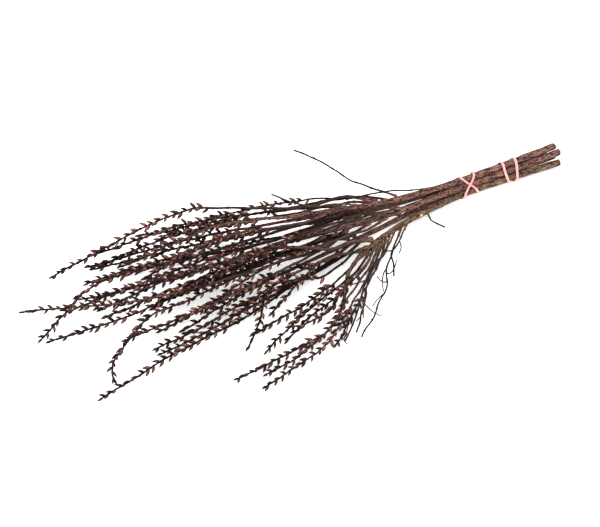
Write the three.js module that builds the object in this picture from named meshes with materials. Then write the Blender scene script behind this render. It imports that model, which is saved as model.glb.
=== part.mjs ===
// A bundle of budded twigs lying on a surface, tied near its cut ends with two rubber bands.
// Millimetres, +Z up. While it is laid out, the cut ends stand at x = 0, the twigs run towards -X
// and the floor is z = 0. At the end the whole bundle is centred over the origin.
import * as THREE from "three";

// Stems: six rods stacked three, two and one inside the bands.
const STEM_RADIUS = 5.1;
const STEM_PITCH = 10.6;
const STEM_SHIFT = 20.2; // the stack lies this far behind the middle line of the twigs
const STEM_STRAIGHT = [80, 160]; // distances from the cut ends that a stem passes in the stack
const STEM_SIDES = 8;
const STEM_STEP = 34;
const STEM_TAPER = 1.8; // over 1, a stem keeps its thickness and thins late
const STEM_KNOTS = 0.07; // the share of its radius that a stem loses between its knots
const STEM_WAVES = 3; // knots along a stem

// Rubber bands: each is one loop of flat strip, wound twice round the stems.
const BAND_WIDTH = 3.8;
const BAND_THICKNESS = 1.2;
const BAND_GAP = 0.5;
const BAND_LIFT = 1.5 * BAND_THICKNESS;
const BAND_STEPS = 32; // along one turn
const BAND_OUTLINE = 180; // directions in which the stems are felt for the band's outline

// Shoots: three-sided tapering twigs with one side down, and a bud on two sides of each short step.
const TWIG_SIDES = 3;
const TWIG_ROLL = Math.PI / 2;
const TWIG_SWELL = 1.5; // a triangle needs this corner radius for about a round twig's thickness
const TIP_RADIUS = 0.6;
const BARE_STEP = 32;
const BUD_STEP = 14;
const BUD_REACH = 4.2; // from the side it grows on to its point
const BUD_LEAN = 4; // how far ahead of its step's middle a bud's point lies
const FORK_GAP = 0.7;
const FORK_ELBOW = 9;
const FORK_SLANT = 0.6; // how far a shoot leans out of its stem for each step along it

// Settling: twigs are pushed apart until their surfaces clear one another and the floor.
const CLEARANCE = 0.6;
const SETTLE_STEP = 12;
const SETTLE_ROUNDS = 220;
const SETTLE_PUSH = 0.8; // the most that one touch moves a twig in a round
const SETTLE_EASE = 0.3;
const FIRST_ROOM = 0.3; // twigs begin this thin, so that they slip past each other, and then grow
const FULL_ROOM_AT = 0.6; // the share of the rounds by which they have their full thickness
const EASE_UNTIL = 0.75; // the share of the rounds after which kinks stay as they are

const ROW_RISE = STEM_PITCH * Math.sin(Math.PI / 3);
const STEM_LOW = STEM_RADIUS + BAND_GAP + BAND_THICKNESS + BAND_LIFT;

const BARK = new THREE.MeshStandardMaterial({ color: 0x6a4f47, roughness: 0.9, metalness: 0 });
const OLIVE_BARK = new THREE.MeshStandardMaterial({ color: 0x7c6848, roughness: 0.9, metalness: 0 });
const BUDDED_BARK = new THREE.MeshStandardMaterial({ color: 0x5a3128, roughness: 0.7, metalness: 0 });
const RUBBER = new THREE.MeshStandardMaterial({ color: 0xf3adab, roughness: 0.6, metalness: 0 });

// Each stem: its row in the stack and its place along that row in pitches, how far its cut end
// stands out and how far it splays off the stack in Y and Z, the points it passes after the bands,
// and its radius where it ends.
const STEMS = {
  front: {
    row: 0,
    place: -1,
    cut: 11,
    splay: [-5, 0],
    path: [[-255, -10, 17], [-308, -30, 24], [-345, -46, 26]],
    end: 3.8,
  },
  under: { row: 0, place: 0, cut: 11, splay: [0, 0], path: [[-280, 2, 11], [-400, -14, 15]], end: 2.6 },
  back: { row: 0, place: 1, cut: 4, splay: [3, 0], path: [[-280, 38, 10], [-400, 60, 12]], end: 2.5 },
  middle: { row: 1, place: -0.5, cut: 15, splay: [-1, 2], path: [[-280, 3, 31], [-420, 5, 46]], end: 4 },
  rear: { row: 1, place: 0.5, cut: 1, splay: [2, 1], path: [[-280, 29, 27], [-400, 46, 37]], end: 2.6 },
  top: { row: 2, place: 0, cut: 9, splay: [0, 2], path: [[-280, 15, 45], [-400, 27, 64]], end: 3.2 },
};

// Each band: where it sits, half the spread of its two turns, how sharply they cross, and the side
// where they cross, as a direction in the Y-Z plane.
const BANDS = {
  rubber_band_outer: { x: -70, spread: 10.5, sharpness: 0.4, crossing: [0.3, -0.95] },
  rubber_band_inner: { x: -138, spread: 14, sharpness: 2.2, crossing: [-0.6, 0.8] },
};

// A shoot: how far from the cut ends it forks off its stem, or END if it carries the stem on, its
// radius there, the share of its length that is bare, and the points it passes. A share of 1 is a
// wisp with no buds.
const END = "end";
const twig = (from, radius, bare, ...path) => ({ from, radius, bare, path });

// The shoots of each stem.
const SHOOTS = {
  top: [
    twig(END, 2.2, 0.25, [-520, 42, 82], [-655, 42, 62]),
    twig(300, 2.4, 0.5, [-400, 32, 74], [-476, 56, 86], [-540, 76, 93], [-600, 77, 89], [-745, 72, 60]),
    twig(334, 2.1, 0.38, [-536, 64, 76], [-680, 92, 52]),
    twig(352, 2, 0.4, [-500, 60, 64], [-571, 66, 70], [-676, 74, 48]),
    twig(370, 1.9, 0.35, [-520, 18, 84], [-640, 8, 70]),
    twig(258, 1.5, 1, [-318, 52, 78], [-338, 76, 94], [-372, 104, 108]),
    twig(322, 1.2, 1, [-387, 24, 78], [-425, 64, 82]),
    twig(205, 1.1, 1, [-232, 14, 50], [-276, 20, 61], [-332, 22, 68]),
  ],
  middle: [
    twig(END, 2.8, 0.3, [-560, -2, 60], [-725, 28, 38]),
    twig(300, 2.2, 0.45, [-480, 4, 64], [-615, 38, 60], [-704, 58, 40]),
    twig(330, 2.3, 0.45, [-560, 14, 68], [-695, 46, 48], [-786, 13, 10]),
    twig(360, 2.3, 0.45, [-636, -8, 48], [-794, 64, 24]),
    twig(312, 2.1, 0.4, [-500, -14, 58], [-702, -3, 30]),
    twig(262, 2, 0.45, [-430, -12, 66], [-600, -25, 55]),
    twig(285, 2, 0.35, [-450, -26, 56], [-585, -46, 32]),
    twig(345, 2.1, 0.35, [-568, -50, 44], [-690, -42, 20]),
    twig(378, 1.9, 0.25, [-502, 2, 46], [-636, -2, 16]),
    twig(274, 1.9, 0.4, [-446, -8, 56], [-573, -14, 36]),
  ],
  under: [
    twig(END, 2.1, 0.3, [-540, -28, 18], [-640, -32, 4]),
    twig(330, 2.2, 0.45, [-520, -6, 30], [-641, -14, 34], [-778, 15, 9]),
    twig(342, 2.1, 0.4, [-560, -14, 36], [-640, -16, 30], [-678, -38, 20], [-716, -72, 10], [-718, -97, 4]),
    twig(326, 2.3, 0.4, [-470, -58, 26], [-550, -70, 16], [-640, -82, 12], [-749, -103, 4]),
    twig(352, 2, 0.3, [-470, -46, 22], [-590, -64, 10], [-653, -64, 4]),
    twig(365, 1.8, 0.3, [-540, -50, 10], [-655, -62, 4]),
    twig(252, 1.9, 0.45, [-420, 6, 20], [-590, 22, 4]),
    twig(318, 2.4, 0.35, [-434, -30, 28], [-514, -36, 22], [-612, -54, 4]),
    twig(340, 2, 0.3, [-439, -40, 30], [-561, -54, 4]),
  ],
  front: [
    twig(END, 2.8, 0.5, [-384, -84, 23], [-424, -128, 10], [-487, -141, 8], [-580, -150, 4]),
    twig(318, 2.8, 0.4, [-385, -36, 47], [-440, -20, 60], [-610, -4, 64]),
    twig(334, 1.9, 0.35, [-406, -70, 44], [-484, -58, 44], [-516, -90, 22], [-546, -112, 4]),
    twig(342, 1.8, 0.3, [-414, -46, 40], [-456, -60, 27], [-496, -80, 12]),
    twig(337, 1.9, 0.35, [-407, -90, 32], [-462, -104, 22], [-527, -127, 4]),
    twig(340, 1.8, 0.3, [-420, -74, 14], [-523, -90, 4]),
    twig(324, 1.7, 0.35, [-396, -98, 36], [-419, -114, 24], [-464, -114, 14], [-496, -121, 4]),
    twig(324, 1.6, 0.3, [-396, -84, 12], [-462, -102, 4]),
    twig(316, 1.9, 0.4, [-396, -106, 26], [-463, -150, 12], [-543, -161, 4]),
    twig(308, 1.8, 0.4, [-392, -114, 14], [-438, -146, 8], [-484, -160, 8], [-553, -178, 4]),
    twig(300, 1.6, 0.5, [-380, -106, 10], [-405, -126, 8], [-440, -159, 4]),
    twig(292, 1.2, 1, [-367, -94, 18], [-382, -116, 10], [-423, -151, 4]),
    twig(270, 1.4, 1, [-311, -66, 18], [-331, -98, 12], [-372, -136, 6], [-399, -157, 4]),
    twig(258, 1, 1, [-306, -66, 26], [-314, -90, 16]),
    twig(284, 1.1, 1, [-335, -70, 24], [-359, -92, 18], [-374, -114, 10], [-401, -148, 4]),
    twig(216, 0.9, 1, [-218, -16, 11], [-204, -36, 9]),
  ],
  rear: [
    twig(END, 2.1, 0.3, [-540, 68, 44], [-690, 95, 30]),
    twig(282, 2.1, 0.45, [-450, 58, 60], [-610, 110, 40]),
    twig(312, 2, 0.4, [-480, 40, 48], [-640, 66, 24]),
    twig(342, 2, 0.4, [-520, 26, 38], [-700, 26, 18]),
  ],
  back: [
    twig(END, 2, 0.3, [-540, 86, 12], [-680, 110, 4]),
    twig(272, 2, 0.45, [-430, 76, 24], [-570, 128, 4]),
    twig(304, 1.9, 0.4, [-470, 56, 12], [-640, 85, 4]),
    twig(344, 2, 0.4, [-520, 44, 22], [-735, 54, 4]),
    twig(250, 1.7, 0.45, [-380, 84, 30], [-500, 132, 4]),
  ],
};

const vector = (p) => new THREE.Vector3(...p);
const smooth = (points) => new THREE.CatmullRomCurve3(points, false, "centripetal");

// How far along a path that runs towards -X it reaches x, from 0 to 1.
function shareAtX(curve, x) {
  let low = 0;
  let high = 1;
  for (let halving = 0; halving < 30; halving++) {
    const middle = (low + high) / 2;
    if (curve.getPointAt(middle).x > x) low = middle;
    else high = middle;
  }
  return low;
}

// A stem's centre line and its radius along it, from 0 at the cut to 1 at its end.
function layStem({ row, place, cut, splay, path, end }, number) {
  const y = STEM_SHIFT + place * STEM_PITCH;
  const z = STEM_LOW + row * ROW_RISE;
  const cutEnd = vector([cut, y + splay[0], z + splay[1]]);
  const stacked = STEM_STRAIGHT.map((distance) => vector([-distance, y, z]));
  const curve = smooth([cutEnd, ...stacked, ...path.map(vector)]);
  const radius = (t) => {
    const wave = 0.5 + 0.5 * Math.sin(2 * Math.PI * STEM_WAVES * t + number);
    return THREE.MathUtils.lerp(STEM_RADIUS, end, t ** STEM_TAPER) * (1 - STEM_KNOTS * wave);
  };
  const points = curve.getSpacedPoints(Math.round(curve.getLength() / SETTLE_STEP));
  return { curve, radius, points };
}

// A shoot's centre line: out of its stem's side at a slant, or on from the stem's end, then through
// its own points.
function layShoot({ from, radius, bare, path }, stem) {
  const first = vector(path[0]);
  const leads = from === END;
  const t = leads ? 1 : shareAtX(stem.curve, -from);
  const root = stem.curve.getPointAt(t);
  const onward = stem.curve.getTangentAt(t);
  const outward = first.clone().sub(root).projectOnPlane(onward).normalize();
  const heading = leads ? onward : onward.clone().addScaledVector(outward, FORK_SLANT).normalize();
  const start = leads
    ? root.clone().addScaledVector(onward, FORK_GAP)
    : root.clone().addScaledVector(outward, stem.radius(t) + FORK_GAP + radius * TWIG_SWELL);
  const elbow = start.clone().addScaledVector(heading, FORK_ELBOW + 3 * radius);
  const curve = smooth([start, elbow, ...path.map(vector)]);
  const points = curve.getSpacedPoints(Math.round(curve.getLength() / SETTLE_STEP));
  return { points, laid: points.map((p) => p.clone()), radius, bare, stem, leads };
}

// A twig's corner radius at share t of its length. Its sides lie half as far from its centre line.
function cornerRadius({ radius }, t) {
  return THREE.MathUtils.lerp(radius, TIP_RADIUS, t) * TWIG_SWELL;
}

// How much room a shoot needs round its centre line, and below it, at share t of its length.
function shootRoom(shoot, t) {
  const corner = cornerRadius(shoot, t);
  const below = corner / 2 + (t > shoot.bare ? BUD_REACH : 0);
  return { room: Math.max(corner, below), below };
}

// A path as capsules: short lines, each with the room it needs and whether its ends may move.
function capsules(points, roomAt, free) {
  return points.slice(1).map((end, i) => ({
    line: new THREE.Line3(points[i], end),
    ...roomAt((i + 0.5) / (points.length - 1)),
    free: [free && i > 0, free],
    index: i,
  }));
}

// Moves two capsules apart if they are closer than they need. A capsule that can't move leaves the
// whole push to the other.
function partCapsules(a, b, growth, onA, onB) {
  const need = (a.room + b.room) * growth + CLEARANCE;
  const gap = Math.sqrt(a.line.distanceSqToLine3(b.line, onA, onB));
  if (gap >= need) return;
  const away = gap > 1e-3 ? onA.clone().sub(onB).divideScalar(gap) : new THREE.Vector3(0, 0, 1);
  const movable = [a, b].map((capsule) => capsule.free.some(Boolean));
  const share = movable[0] && movable[1] ? 0.5 : 1;
  [a, b].forEach((capsule, side) => {
    const push = (side ? -1 : 1) * Math.min((need - gap) * share, SETTLE_PUSH);
    if (capsule.free[0]) capsule.line.start.addScaledVector(away, push);
    if (capsule.free[1]) capsule.line.end.addScaledVector(away, push);
  });
}

// Spreads each push along the shoot, so that it bends as a whole and keeps the shape it was laid in.
function easeKinks({ points, laid }) {
  const moved = points.map((p, i) => p.clone().sub(laid[i]));
  for (let i = 1; i < points.length - 1; i++) {
    const level = moved[i - 1].clone().add(moved[i + 1]).multiplyScalar(0.5);
    points[i].copy(laid[i]).add(moved[i].lerp(level, SETTLE_EASE));
  }
}

// Pushes apart the capsules of two chains. The shoot that carries a stem on may touch that stem.
function partChains(one, other, growth, onA, onB) {
  const carriesOn = other.shoot.leads && one.stem === other.shoot.stem;
  for (const a of one.chain) {
    for (const b of other.chain) {
      const far = Math.abs(a.line.start.x - b.line.start.x) > 3 * SETTLE_STEP;
      if (far || (carriesOn && b.index === 0)) continue;
      partCapsules(a, b, growth, onA, onB);
    }
  }
}

// Pushes all the shoots clear of the stems, of each other and of the floor.
function settle(stems, shoots) {
  const fixed = stems.map((stem) => ({
    stem,
    chain: capsules(stem.points, (t) => ({ room: stem.radius(t) }), false),
  }));
  const loose = shoots.map((shoot) => ({
    shoot,
    chain: capsules(shoot.points, (t) => shootRoom(shoot, t), true),
  }));
  const onA = new THREE.Vector3();
  const onB = new THREE.Vector3();
  for (let round = 0; round < SETTLE_ROUNDS; round++) {
    const share = round / SETTLE_ROUNDS;
    const growth = Math.min(1, THREE.MathUtils.lerp(FIRST_ROOM, 1, share / FULL_ROOM_AT));
    if (share < EASE_UNTIL) shoots.forEach(easeKinks);
    loose.forEach((other, i) => {
      const earlier = [...fixed, ...loose.slice(0, i)];
      earlier.forEach((one) => partChains(one, other, growth, onA, onB));
    });
    for (const { chain } of loose) {
      for (const { line, below } of chain) line.end.z = Math.max(line.end.z, below);
    }
  }
}

// Collects triangles, with corners given as points, into one geometry.
class Skin {
  corners = [];

  triangle(a, b, c) {
    this.corners.push(a, b, c);
  }

  quad(a, b, c, d) {
    this.triangle(a, b, c);
    this.triangle(a, c, d);
  }

  geometry() {
    const made = new THREE.BufferGeometry().setFromPoints(this.corners);
    made.computeVertexNormals();
    return made;
  }
}

// The corners of a round section across a path, anticlockwise as seen from ahead.
function section(centre, ahead, radius, sides, roll) {
  const side = new THREE.Vector3(0, 0, 1).cross(ahead).normalize();
  const above = ahead.clone().cross(side);
  return Array.from({ length: sides }, (_, k) => {
    const angle = roll + (2 * Math.PI * k) / sides;
    return centre
      .clone()
      .addScaledVector(side, radius * Math.cos(angle))
      .addScaledVector(above, radius * Math.sin(angle));
  });
}

// Closes a row of sections into a tube. The wall between two sections is flat unless a bud is asked
// for there, and the far end is a point if tip is given.
function tube(sections, { tip = null, budOn = () => null }) {
  const skin = new Skin();
  const sides = sections[0].length;
  sections.slice(1).forEach((next, i) => {
    const ring = sections[i];
    for (let k = 0; k < sides; k++) {
      const wall = [ring[k], ring[(k + 1) % sides], next[(k + 1) % sides], next[k]];
      const point = budOn(i, k, wall);
      if (point) wall.forEach((corner, n) => skin.triangle(corner, wall[(n + 1) % 4], point));
      else skin.quad(...wall);
    }
  });
  const first = sections[0];
  const last = sections.at(-1);
  for (let k = 1; k < sides - 1; k++) skin.triangle(first[0], first[k + 1], first[k]);
  if (tip) last.forEach((corner, k) => skin.triangle(corner, last[(k + 1) % sides], tip));
  else for (let k = 1; k < sides - 1; k++) skin.triangle(last[0], last[k], last[k + 1]);
  return skin.geometry();
}

// A stem: a tapering rod with a flat cut at each end.
function stemGeometry({ curve, radius }) {
  const steps = Math.round(curve.getLength() / STEM_STEP);
  const sections = Array.from({ length: steps + 1 }, (_, i) => {
    const t = i / steps;
    return section(curve.getPointAt(t), curve.getTangentAt(t), radius(t), STEM_SIDES, Math.PI / STEM_SIDES);
  });
  return tube(sections, {});
}

// A shoot: long steps along its bare part, then short steps with buds. The side that has no bud is
// one on from the last each time, and the end bud is the point of the twig.
function shootGeometry(shoot) {
  const { points, bare } = shoot;
  const curve = smooth(points);
  const length = curve.getLength();
  const bareSteps = Math.max(2, Math.round((bare * length) / BARE_STEP));
  const budSteps = Math.round(((1 - bare) * length) / BUD_STEP);
  const shares = [
    ...Array.from({ length: bareSteps }, (_, i) => (bare * i) / bareSteps),
    ...Array.from({ length: budSteps }, (_, i) => bare + ((1 - bare) * i) / budSteps),
  ];
  const sections = shares.map((t) => {
    const radius = cornerRadius(shoot, t);
    return section(curve.getPointAt(t), curve.getTangentAt(t), radius, TWIG_SIDES, TWIG_ROLL);
  });
  const budOn = (step, side, wall) => {
    if (step < bareSteps || step % TWIG_SIDES === side) return null;
    const t = (shares[step] + shares[step + 1]) / 2;
    const root = curve.getPointAt(t);
    const middle = wall.reduce((sum, corner) => sum.add(corner), new THREE.Vector3()).divideScalar(4);
    const outward = middle.clone().sub(root).normalize();
    return middle.addScaledVector(outward, BUD_REACH).addScaledVector(curve.getTangentAt(t), BUD_LEAN);
  };
  return tube(sections, { tip: curve.getPointAt(1), budOn });
}

// The tight outline round the stems near x, a given distance off them, as points in the Y-Z plane.
function outlineRound(stems, x, reach, off) {
  const places = [x - reach, x, x + reach];
  const rods = stems.flatMap(({ curve, radius }) =>
    places.map((place) => {
      const t = shareAtX(curve, place);
      return { centre: curve.getPointAt(t), radius: radius(t) };
    }),
  );
  return Array.from({ length: BAND_OUTLINE }, (_, k) => {
    const angle = (2 * Math.PI * k) / BAND_OUTLINE;
    const way = new THREE.Vector3(0, Math.cos(angle), Math.sin(angle));
    const extent = ({ centre, radius }) => centre.dot(way) + radius;
    const outermost = rods.reduce((best, rod) => (extent(rod) > extent(best) ? rod : best));
    return outermost.centre.clone().addScaledVector(way, outermost.radius + off).setX(x);
  });
}

// A rubber band: one strip that goes twice round the stems. Its turns lie apart on one side of the
// bundle and cross on the other, where one is lifted over the other.
function bandGeometry(stems, { x, spread, sharpness, crossing }) {
  const outline = outlineRound(stems, x, spread + BAND_WIDTH, BAND_GAP + BAND_THICKNESS / 2);
  const way = new THREE.Vector3(0, ...crossing);
  const meets = outline.reduce((best, p, k) => (p.dot(way) > outline[best].dot(way) ? k : best), 0);
  const start = (meets + outline.length / 2) % outline.length;
  const loop = [...outline.slice(start), ...outline.slice(0, start)];
  const route = new THREE.CurvePath();
  loop.forEach((p, k) => route.add(new THREE.LineCurve3(p, loop[(k + 1) % loop.length])));
  const across = new THREE.Vector3(1, 0, 0);
  const rings = Array.from({ length: 2 * BAND_STEPS }, (_, k) => {
    const turn = k / BAND_STEPS;
    const along = route.getPointAt(turn % 1);
    const behind = route.getPointAt((turn + 1 - 0.5 / BAND_STEPS) % 1);
    const ahead = route.getPointAt((turn + 0.5 / BAND_STEPS) % 1);
    const off = ahead.sub(behind).cross(across).normalize();
    const lift = BAND_LIFT * Math.max(0, Math.sin(Math.PI * turn)) ** 4;
    const swing = Math.tanh(sharpness * Math.cos(Math.PI * turn)) / Math.tanh(sharpness);
    along.addScaledVector(off, lift).addScaledVector(across, spread * swing);
    const corner = (wide, thick) =>
      along.clone().addScaledVector(across, wide * BAND_WIDTH).addScaledVector(off, thick * BAND_THICKNESS);
    return [corner(-0.5, -0.5), corner(0.5, -0.5), corner(0.5, 0.5), corner(-0.5, 0.5)];
  });
  const skin = new Skin();
  rings.forEach((ring, i) => {
    const next = rings[(i + 1) % rings.length];
    ring.forEach((corner, k) => skin.quad(corner, ring[(k + 1) % 4], next[(k + 1) % 4], next[k]));
  });
  return skin.geometry();
}

function mesh(name, geometry, material) {
  const made = new THREE.Mesh(geometry, material);
  made.name = name;
  return made;
}

const stems = new Map(Object.entries(STEMS).map(([place, facts], i) => [place, layStem(facts, i)]));
const rods = [...stems.values()];
const shoots = Object.entries(SHOOTS).flatMap(([place, rows]) =>
  rows.map((facts, i) => ({ ...layShoot(facts, stems.get(place)), name: `shoot_${place}_${i + 1}` })),
);
settle(rods, shoots);

const layout = new THREE.Group();
stems.forEach((stem, place) => {
  const bark = place === "front" ? OLIVE_BARK : BARK;
  layout.add(mesh(`stem_${place}`, stemGeometry(stem), bark));
});
shoots.forEach((shoot) => layout.add(mesh(shoot.name, shootGeometry(shoot), BUDDED_BARK)));
Object.entries(BANDS).forEach(([name, band]) => layout.add(mesh(name, bandGeometry(rods, band), RUBBER)));

// The origin is under the middle of the bundle, on the floor.
const box = new THREE.Box3().setFromObject(layout);
const middle = box.getCenter(new THREE.Vector3());
layout.position.set(-middle.x, -middle.y, -box.min.z);

const bundle = new THREE.Group();
bundle.add(layout);

export default bundle;
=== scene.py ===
"""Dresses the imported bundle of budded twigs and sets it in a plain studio.

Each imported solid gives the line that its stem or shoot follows. Round bark, buds, cut ends and
rubber bands are laid along those lines in the same frame, and floor, light and camera follow.
"""

from __future__ import annotations

import logging
import math
import zlib
from dataclasses import dataclass, replace
from enum import Enum

import bmesh
import bpy
import numpy as np
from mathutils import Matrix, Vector

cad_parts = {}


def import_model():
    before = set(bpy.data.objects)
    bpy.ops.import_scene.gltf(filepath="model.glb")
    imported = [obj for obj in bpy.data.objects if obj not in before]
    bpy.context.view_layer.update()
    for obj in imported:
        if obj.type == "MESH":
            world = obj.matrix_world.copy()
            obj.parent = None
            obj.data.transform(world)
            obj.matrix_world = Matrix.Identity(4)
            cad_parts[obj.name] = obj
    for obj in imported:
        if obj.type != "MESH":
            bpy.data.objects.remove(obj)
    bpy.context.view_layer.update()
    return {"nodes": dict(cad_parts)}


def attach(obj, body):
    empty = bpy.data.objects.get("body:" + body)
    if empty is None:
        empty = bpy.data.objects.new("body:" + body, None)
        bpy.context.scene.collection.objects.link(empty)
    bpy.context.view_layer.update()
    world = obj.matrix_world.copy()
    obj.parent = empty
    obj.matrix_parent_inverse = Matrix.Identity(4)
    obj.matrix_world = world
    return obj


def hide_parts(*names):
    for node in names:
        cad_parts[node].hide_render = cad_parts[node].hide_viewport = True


LOG = logging.getLogger("bundle")
BODY = "root"
MM = 0.001
WELD = 0.02 * MM
STEM_CORNERS = 8
TWIG_SWELL = 1.5
UP = np.array([0.0, 0.0, 1.0])
# Direction of the painted light: bud sides that face it get a painted highlight in their colour.
PAINTED_LIGHT_DIRECTION = np.array([-0.1, -0.25, 0.96])

Colour = tuple[float, float, float, float]


def srgb(red: int, green: int, blue: int) -> Colour:
    """Turns a screen colour into the linear colour that shaders use.

    Args:
        red: Red, from 0 to 255.
        green: Green, from 0 to 255.
        blue: Blue, from 0 to 255.

    Returns:
        The linear colour with full alpha.
    """
    shares = [part / 255 for part in (red, green, blue)]
    linear = [s / 12.92 if s <= 0.04045 else ((s + 0.055) / 1.055) ** 2.4 for s in shares]
    return (linear[0], linear[1], linear[2], 1.0)


def unit(vectors: np.ndarray) -> np.ndarray:
    """Returns the vectors scaled to length 1."""
    return vectors / np.maximum(np.linalg.norm(vectors, axis=-1, keepdims=True), 1e-12)


def seed_of(name: str) -> int:
    """Returns a number that stays the same for a name in every run."""
    return zlib.crc32(name.encode())


def sleeve(rings: int, sides: int) -> list[list[int]]:
    """Joins rings of corners to one another, and the last ring to a point.

    Args:
        rings: How many rings there are.
        sides: How many corners each ring has; the point is the corner after the last ring.

    Returns:
        The faces, as lists of corner numbers.
    """
    faces = []
    for low in range(0, (rings - 1) * sides, sides):
        high = low + sides
        for k in range(sides):
            after = (k + 1) % sides
            faces.append([low + k, high + k, high + after, low + after])
    last, tip = (rings - 1) * sides, rings * sides
    return faces + [[last + k, tip, last + (k + 1) % sides] for k in range(sides)]


def with_tip(number: np.ndarray | float) -> np.ndarray | float:
    """Returns a mark's numbers with the last one repeated for the tip, or a single number as it is."""
    return np.append(number, np.ravel(number)[-1]) if np.size(number) > 1 else number


class Slot(Enum):
    """The record's material slots."""

    STEM = "stem_bark"
    OLIVE = "olive_bark"
    SHOOT = "shoot_bark"
    RUBBER = "rubber"


class Mark(Enum):
    """Numbers that a mesh carries for its finish."""

    BUD = "bud"
    ALONG = "along"
    TINT = "tint"
    KNOT = "knot"
    SCAR = "scar"
    RING = "ring"
    # How far a bud's side faces the painted light direction; it places the buds' painted highlight.
    PAINTED_LIT_SIDE = "painted_lit_side"
    FOOT = "foot"


class KnotKind(Enum):
    """What is left where something once grew on a stem."""

    KNOT = "knot"
    SCAR = "scar"


class Value:
    """A shader value that is added, multiplied and so on like a number."""

    def __init__(self, graph: Graph, socket: bpy.types.NodeSocket) -> None:
        """Keeps the socket and the graph that it belongs to."""
        self.graph = graph
        self.socket = socket

    def _maths(self, operation: str, first: Number, second: Number) -> Value:
        """Returns what a Math node makes of two values."""
        node = self.graph.node("ShaderNodeMath", {"operation": operation}, {0: first, 1: second})
        return Value(self.graph, node.outputs[0])

    def __add__(self, other: Number) -> Value:
        """Returns this value plus another."""
        return self._maths("ADD", self, other)

    def __radd__(self, other: Number) -> Value:
        """Returns another value plus this one."""
        return self._maths("ADD", other, self)

    def __sub__(self, other: Number) -> Value:
        """Returns this value less another."""
        return self._maths("SUBTRACT", self, other)

    def __rsub__(self, other: Number) -> Value:
        """Returns another value less this one."""
        return self._maths("SUBTRACT", other, self)

    def __mul__(self, other: Number) -> Value:
        """Returns this value times another."""
        return self._maths("MULTIPLY", self, other)

    def __rmul__(self, other: Number) -> Value:
        """Returns another value times this one."""
        return self._maths("MULTIPLY", other, self)

    def rise(self, low: float, high: float) -> Value:
        """Returns 0 below low, 1 above high and a smooth step between them."""
        settings = {"interpolation_type": "SMOOTHSTEP"}
        node = self.graph.node("ShaderNodeMapRange", settings, {0: self, 1: low, 2: high})
        return Value(self.graph, node.outputs[0])

    def wave(self) -> Value:
        """Returns the sine of this value."""
        return self._maths("SINE", self, 0.0)


Number = Value | float


class Graph:
    """The shader nodes of one material."""

    def __init__(self, name: str) -> None:
        """Starts a material that has only a Principled shader and its output.

        Args:
            name: The material's name.
        """
        self.material = bpy.data.materials.new(name)
        self.material.use_nodes = True
        self.tree = self.material.node_tree
        self.tree.nodes.clear()
        self.shader = self.node("ShaderNodeBsdfPrincipled")
        self.node("ShaderNodeOutputMaterial", inputs={"Surface": self.shader.outputs[0]})

    def node(
        self,
        kind: str,
        settings: dict[str, object] | None = None,
        inputs: dict[str | int, object] | None = None,
    ) -> bpy.types.Node:
        """Adds a node.

        Args:
            kind: The node's type.
            settings: The node's own settings, which are set first.
            inputs: What each socket gets, a value or something to link.

        Returns:
            The new node.
        """
        made = self.tree.nodes.new(kind)
        for name, setting in (settings or {}).items():
            setattr(made, name, setting)
        for key, given in (inputs or {}).items():
            self.feed(made.inputs[key], given)
        return made

    def feed(self, socket: bpy.types.NodeSocket, given: object) -> None:
        """Links or sets one socket.

        Args:
            socket: The socket that is fed.
            given: A Value or socket to link, or a plain value to set.
        """
        if isinstance(given, Value):
            self.tree.links.new(given.socket, socket)
        elif isinstance(given, bpy.types.NodeSocket):
            self.tree.links.new(given, socket)
        else:
            socket.default_value = given

    def read(self, mark: Mark) -> Value:
        """Returns a number that the mesh carries."""
        return Value(self, self.node("ShaderNodeAttribute", {"attribute_name": mark.value}).outputs["Fac"])

    def grain(self, along: float, across: float) -> bpy.types.NodeSocket:
        """Returns the straightened place on the wood, scaled along and across its length."""
        place = self.node("ShaderNodeAttribute", {"attribute_name": "grain"}).outputs["Vector"]
        return self.scaled(place, along, across)

    def scaled(self, place: bpy.types.NodeSocket, along: float, across: float) -> bpy.types.NodeSocket:
        """Returns a place scaled by one number along X and another across it."""
        inputs = {0: place, 1: (along, across, across)}
        return self.node("ShaderNodeVectorMath", {"operation": "MULTIPLY"}, inputs).outputs[0]

    def noise(self, place: bpy.types.NodeSocket, detail: float = 3.0) -> Value:
        """Returns cloudy noise with features about one unit wide."""
        inputs = {"Vector": place, "Scale": 1.0, "Detail": detail, "Roughness": 0.6}
        return Value(self, self.node("ShaderNodeTexNoise", {}, inputs).outputs[0])

    def dots(self, place: bpy.types.NodeSocket, size: float) -> Value:
        """Returns 1 on scattered dots of a given size, one to a unit cell, and 0 between them."""
        cells = self.node("ShaderNodeTexVoronoi", {}, {"Vector": place, "Scale": 1.0})
        return 1 - Value(self, cells.outputs["Distance"]).rise(0.6 * size, size)

    def blend(self, share: Number, first: object, second: object) -> bpy.types.NodeSocket:
        """Returns a colour between two colours."""
        inputs = {0: share, 6: first, 7: second}
        return self.node("ShaderNodeMix", {"data_type": "RGBA"}, inputs).outputs[2]

    def relief(self, height: Value, depth: float) -> None:
        """Feeds a bump of a given depth in metres to the shader's normal."""
        bump = self.node("ShaderNodeBump", {}, {"Strength": 0.8, "Distance": depth, "Height": height})
        self.feed(self.shader.inputs["Normal"], bump.outputs[0])

    def dress(self, colour: object, roughness: Number, **plain: float) -> bpy.types.Material:
        """Feeds the shader and gives back the material.

        Args:
            colour: What feeds the base colour.
            roughness: What feeds the roughness.
            plain: Other shader sockets, with _ for a space, and their plain values.

        Returns:
            The finished material.
        """
        self.feed(self.shader.inputs["Base Color"], colour)
        self.feed(self.shader.inputs["Roughness"], roughness)
        for name, number in plain.items():
            self.shader.inputs[name.replace("_", " ")].default_value = number
        return self.material


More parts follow.
